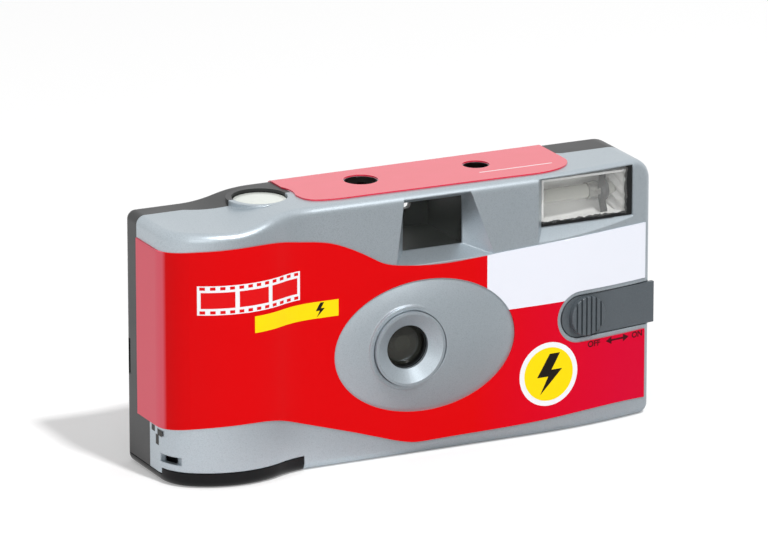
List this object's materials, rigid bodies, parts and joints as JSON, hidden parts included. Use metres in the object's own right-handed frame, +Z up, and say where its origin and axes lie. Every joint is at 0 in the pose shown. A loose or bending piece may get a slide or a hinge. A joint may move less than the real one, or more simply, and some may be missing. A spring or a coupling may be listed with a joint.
{
  "type": "disposable film camera",
  "caption": "Single-use 35 mm film camera with a built-in flash, an oval lens dome, a thumbwheel, a shutter button, a flash switch and a bottom film door.",
  "frame": {"origin": "middle of the camera's width and depth on the plane it stands on", "axes": "+X to the right as seen from the front, +Y backwards from the lens to the eyepiece, +Z up"},
  "size_m": [0.1207, 0.0292, 0.0603],
  "materials": {
    "silver_plastic": "satin silver moulded plastic",
    "black_plastic": "moulded",
    "white_plastic": "moulded",
    "slide_grey": "moulded",
    "clear_plastic": "clear moulded",
    "label_red": "glossy printed",
    "label_grey": "glossy printed",
    "reflector": "bright",
    "steel": "brushed",
    "brass": "plain",
    "spring_steel": "plain",
    "board": "laminate",
    "capacitor": "sleeved",
    "copper_coil": "wound wire",
    "lamp_orange": "neon bulb",
    "battery_jacket": "printed jacket",
    "can_steel": "painted steel",
    "film": "gloss"
  },
  "bodies": {
    "camera": {"front_cover": "silver_plastic", "back_cover": "black_plastic", "main_frame": "black_plastic", "light_tunnel": "black_plastic", "lens_holder": "black_plastic", "taking_lens": "clear_plastic", "lens_ring": "silver_plastic", "viewfinder_window": "clear_plastic", "viewfinder_eyepiece": "clear_plastic", "flash_window": "clear_plastic", "flash_reflector": "reflector", "flash_tube": "clear_plastic", "flash_tube_ends": "steel", "trigger_band": "steel", "circuit_board": "board", "flash_capacitor": "capacitor", "transformer": "copper_coil", "trigger_coil": "copper_coil", "transistor": "black_plastic", "diode": "black_plastic", "resistor": "board", "ready_lamp": "lamp_orange", "sync_contacts": "brass", "battery": "battery_jacket", "positive_contact": "brass", "negative_contact": "brass", "cartridge_can": "can_steel", "cartridge_end_caps": "can_steel", "film_strip": "film", "shutter_spring": "spring_steel", "striker_spring": "spring_steel", "lever_spring": "spring_steel", "button_spring": "spring_steel", "switch_terminals": "brass", "front_label": "label_red", "top_label": "label_red", "rear_label": "label_grey"},
    "winder": {"thumbwheel": "black_plastic", "cartridge_spool": "black_plastic"},
    "supply": {"supply_spool": "black_plastic", "film_roll": "film"},
    "sprocket_wheel": {"sprocket": "white_plastic"},
    "counter": {"counter_disc": "white_plastic"},
    "blade": {"shutter_blade": "spring_steel"},
    "striker": {"striker_lever": "white_plastic"},
    "metering": {"metering_lever": "black_plastic"},
    "pawl": {"anti_reverse_pawl": "white_plastic"},
    "button": {"shutter_button": "white_plastic"},
    "switch": {"flash_switch": "slide_grey", "switch_clip": "brass"},
    "door": {"film_door": "black_plastic"}
  },
  "joints": [
    {"name": "winder_spin", "type": "hinge", "parent": "camera", "child": "winder", "pos_m": [-0.0427, -0.00155, 0.05], "axis": [0, 0, 1], "continuous": true},
    {"name": "supply_spin", "type": "hinge", "parent": "camera", "child": "supply", "pos_m": [0.042, 0.00165, 0.0258], "axis": [0, 0, 1], "continuous": true},
    {"name": "sprocket_spin", "type": "hinge", "parent": "camera", "child": "sprocket_wheel", "pos_m": [-0.02227, 0.0028, 0.04], "axis": [0, 0, 1], "continuous": true},
    {"name": "counter_spin", "type": "hinge", "parent": "camera", "child": "counter", "pos_m": [-0.0116, 0.0011, 0.057], "axis": [0, 0, 1], "continuous": true},
    {"name": "blade_swing", "type": "hinge", "parent": "camera", "child": "blade", "pos_m": [-0.0095, -0.00875, 0.036], "axis": [0, 1, 0], "range_deg": [0, 28], "stiffness_Nm_per_rad": 0.0002, "springref_deg": -28.65},
    {"name": "striker_swing", "type": "hinge", "parent": "camera", "child": "striker", "pos_m": [-0.0116, 0.0011, 0.0466], "axis": [0, 0, 1], "range_deg": [-40, 0], "stiffness_Nm_per_rad": 0.00005, "springref_deg": 28.65},
    {"name": "metering_swing", "type": "hinge", "parent": "camera", "child": "metering", "pos_m": [-0.0276, -0.0056, 0.0533], "axis": [0, 0, 1], "range_deg": [-8, 0], "stiffness_Nm_per_rad": 0.000015, "springref_deg": 28.65},
    {"name": "pawl_swing", "type": "hinge", "parent": "camera", "child": "pawl", "pos_m": [-0.0276, -0.0056, 0.0512], "axis": [0, 0, 1], "range_deg": [0, 8], "stiffness_Nm_per_rad": 0.000012, "springref_deg": -28.65},
    {"name": "button_press", "type": "slide", "parent": "camera", "child": "button", "axis": [0, 0, -1], "range_m": [0, 0.001], "stiffness_N_per_m": 500, "springref_m": -0.0005, "deforming": ["button_spring"]},
    {"name": "flash_switch_slide", "type": "slide", "parent": "camera", "child": "switch", "axis": [0.9894, 0.1452, 0], "range_m": [0, 0.005]},
    {"name": "film_door_hinge", "type": "hinge", "parent": "camera", "child": "door", "pos_m": [-0.0273, 0, 0], "axis": [0, -1, 0], "range_deg": [0, 95]}
  ],
  "couplings": [
    {"joint": "supply_spin", "follows": "winder_spin", "ratio": 0.796},
    {"joint": "sprocket_spin", "follows": "winder_spin", "ratio": 1},
    {"joint": "counter_spin", "follows": "winder_spin", "ratio": -0.041667}
  ]
}
